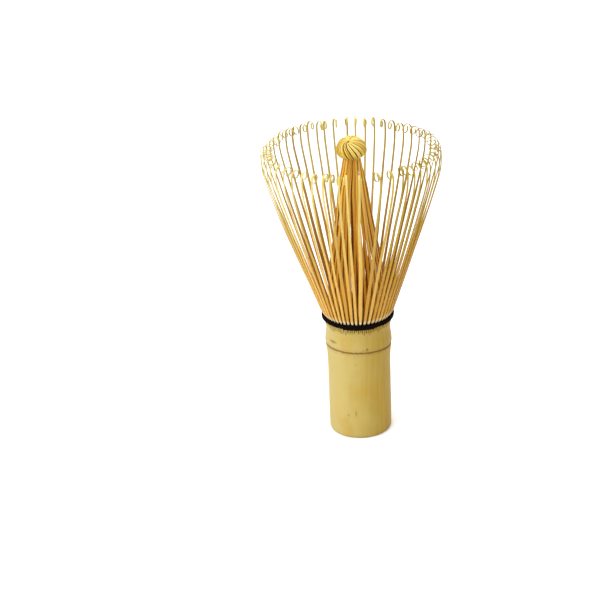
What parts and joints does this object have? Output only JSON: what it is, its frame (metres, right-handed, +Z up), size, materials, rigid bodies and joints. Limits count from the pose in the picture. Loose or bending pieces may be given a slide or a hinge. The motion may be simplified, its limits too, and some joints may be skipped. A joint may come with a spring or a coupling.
{
  "type": "bamboo tea whisk",
  "caption": "Whisk carved from one bamboo culm: hollow handle, flared cup of curled outer tines, slim inner cone wound into a knob, black thread at the roots.",
  "frame": {"origin": "centre of the handle's foot, on the surface that the whisk stands on", "axes": "+Z up the culm's axis, from the foot to the knob; the first split of tines faces -Y"},
  "size_m": [0.0596, 0.0596, 0.1071],
  "materials": {
    "culm_bamboo": "satin",
    "outer_tine_bamboo": "satin",
    "inner_tine_bamboo": "satin",
    "wound_tip_bamboo": "satin",
    "black_cotton": "matte"
  },
  "bodies": {
    "culm": {"handle": "culm_bamboo", "inner_tines_01": "inner_tine_bamboo", "inner_tines_02": "inner_tine_bamboo", "inner_tines_03": "inner_tine_bamboo", "inner_tines_04": "inner_tine_bamboo", "inner_tines_05": "inner_tine_bamboo", "inner_tines_06": "inner_tine_bamboo", "inner_tines_07": "inner_tine_bamboo", "inner_tines_08": "inner_tine_bamboo", "inner_tines_09": "inner_tine_bamboo", "inner_tines_10": "inner_tine_bamboo", "inner_tines_11": "inner_tine_bamboo", "inner_tines_12": "inner_tine_bamboo", "inner_tines_13": "inner_tine_bamboo", "inner_tines_14": "inner_tine_bamboo", "inner_tines_15": "inner_tine_bamboo", "inner_tines_16": "inner_tine_bamboo", "inner_tines_17": "inner_tine_bamboo", "inner_tines_18": "inner_tine_bamboo", "tip_knob": "wound_tip_bamboo", "thread": "black_cotton"},
    "split_01": {"outer_tines_01": "outer_tine_bamboo"},
    "split_02": {"outer_tines_02": "outer_tine_bamboo"},
    "split_03": {"outer_tines_03": "outer_tine_bamboo"},
    "split_04": {"outer_tines_04": "outer_tine_bamboo"},
    "split_05": {"outer_tines_05": "outer_tine_bamboo"},
    "split_06": {"outer_tines_06": "outer_tine_bamboo"},
    "split_07": {"outer_tines_07": "outer_tine_bamboo"},
    "split_08": {"outer_tines_08": "outer_tine_bamboo"},
    "split_09": {"outer_tines_09": "outer_tine_bamboo"},
    "split_10": {"outer_tines_10": "outer_tine_bamboo"},
    "split_11": {"outer_tines_11": "outer_tine_bamboo"},
    "split_12": {"outer_tines_12": "outer_tine_bamboo"},
    "split_13": {"outer_tines_13": "outer_tine_bamboo"},
    "split_14": {"outer_tines_14": "outer_tine_bamboo"},
    "split_15": {"outer_tines_15": "outer_tine_bamboo"},
    "split_16": {"outer_tines_16": "outer_tine_bamboo"},
    "split_17": {"outer_tines_17": "outer_tine_bamboo"},
    "split_18": {"outer_tines_18": "outer_tine_bamboo"}
  },
  "joints": [
    {"name": "split_01_bend", "type": "hinge", "parent": "culm", "child": "split_01", "pos_m": [0, -0.011, 0.0434], "axis": [1, 0, 0], "range_deg": [-4, 8], "stiffness_Nm_per_rad": 0.008},
    {"name": "split_02_bend", "type": "hinge", "parent": "culm", "child": "split_02", "pos_m": [0.00376, -0.01034, 0.0434], "axis": [0.9397, 0.342, 0], "range_deg": [-4, 8], "stiffness_Nm_per_rad": 0.008},
    {"name": "split_03_bend", "type": "hinge", "parent": "culm", "child": "split_03", "pos_m": [0.00707, -0.00843, 0.0434], "axis": [0.766, 0.6428, 0], "range_deg": [-4, 8], "stiffness_Nm_per_rad": 0.008},
    {"name": "split_04_bend", "type": "hinge", "parent": "culm", "child": "split_04", "pos_m": [0.00953, -0.0055, 0.0434], "axis": [0.5, 0.866, 0], "range_deg": [-4, 8], "stiffness_Nm_per_rad": 0.008},
    {"name": "split_05_bend", "type": "hinge", "parent": "culm", "child": "split_05", "pos_m": [0.01083, -0.00191, 0.0434], "axis": [0.1736, 0.9848, 0], "range_deg": [-4, 8], "stiffness_Nm_per_rad": 0.008},
    {"name": "split_06_bend", "type": "hinge", "parent": "culm", "child": "split_06", "pos_m": [0.01083, 0.00191, 0.0434], "axis": [-0.1736, 0.9848, 0], "range_deg": [-4, 8], "stiffness_Nm_per_rad": 0.008},
    {"name": "split_07_bend", "type": "hinge", "parent": "culm", "child": "split_07", "pos_m": [0.00953, 0.0055, 0.0434], "axis": [-0.5, 0.866, 0], "range_deg": [-4, 8], "stiffness_Nm_per_rad": 0.008},
    {"name": "split_08_bend", "type": "hinge", "parent": "culm", "child": "split_08", "pos_m": [0.00707, 0.00843, 0.0434], "axis": [-0.766, 0.6428, 0], "range_deg": [-4, 8], "stiffness_Nm_per_rad": 0.008},
    {"name": "split_09_bend", "type": "hinge", "parent": "culm", "child": "split_09", "pos_m": [0.00376, 0.01034, 0.0434], "axis": [-0.9397, 0.342, 0], "range_deg": [-4, 8], "stiffness_Nm_per_rad": 0.008},
    {"name": "split_10_bend", "type": "hinge", "parent": "culm", "child": "split_10", "pos_m": [0, 0.011, 0.0434], "axis": [-1, 0, 0], "range_deg": [-4, 8], "stiffness_Nm_per_rad": 0.008},
    {"name": "split_11_bend", "type": "hinge", "parent": "culm", "child": "split_11", "pos_m": [-0.00376, 0.01034, 0.0434], "axis": [-0.9397, -0.342, 0], "range_deg": [-4, 8], "stiffness_Nm_per_rad": 0.008},
    {"name": "split_12_bend", "type": "hinge", "parent": "culm", "child": "split_12", "pos_m": [-0.00707, 0.00843, 0.0434], "axis": [-0.766, -0.6428, 0], "range_deg": [-4, 8], "stiffness_Nm_per_rad": 0.008},
    {"name": "split_13_bend", "type": "hinge", "parent": "culm", "child": "split_13", "pos_m": [-0.00953, 0.0055, 0.0434], "axis": [-0.5, -0.866, 0], "range_deg": [-4, 8], "stiffness_Nm_per_rad": 0.008},
    {"name": "split_14_bend", "type": "hinge", "parent": "culm", "child": "split_14", "pos_m": [-0.01083, 0.00191, 0.0434], "axis": [-0.1736, -0.9848, 0], "range_deg": [-4, 8], "stiffness_Nm_per_rad": 0.008},
    {"name": "split_15_bend", "type": "hinge", "parent": "culm", "child": "split_15", "pos_m": [-0.01083, -0.00191, 0.0434], "axis": [0.1736, -0.9848, 0], "range_deg": [-4, 8], "stiffness_Nm_per_rad": 0.008},
    {"name": "split_16_bend", "type": "hinge", "parent": "culm", "child": "split_16", "pos_m": [-0.00953, -0.0055, 0.0434], "axis": [0.5, -0.866, 0], "range_deg": [-4, 8], "stiffness_Nm_per_rad": 0.008},
    {"name": "split_17_bend", "type": "hinge", "parent": "culm", "child": "split_17", "pos_m": [-0.00707, -0.00843, 0.0434], "axis": [0.766, -0.6428, 0], "range_deg": [-4, 8], "stiffness_Nm_per_rad": 0.008},
    {"name": "split_18_bend", "type": "hinge", "parent": "culm", "child": "split_18", "pos_m": [-0.00376, -0.01034, 0.0434], "axis": [0.9397, -0.342, 0], "range_deg": [-4, 8], "stiffness_Nm_per_rad": 0.008}
  ]
}
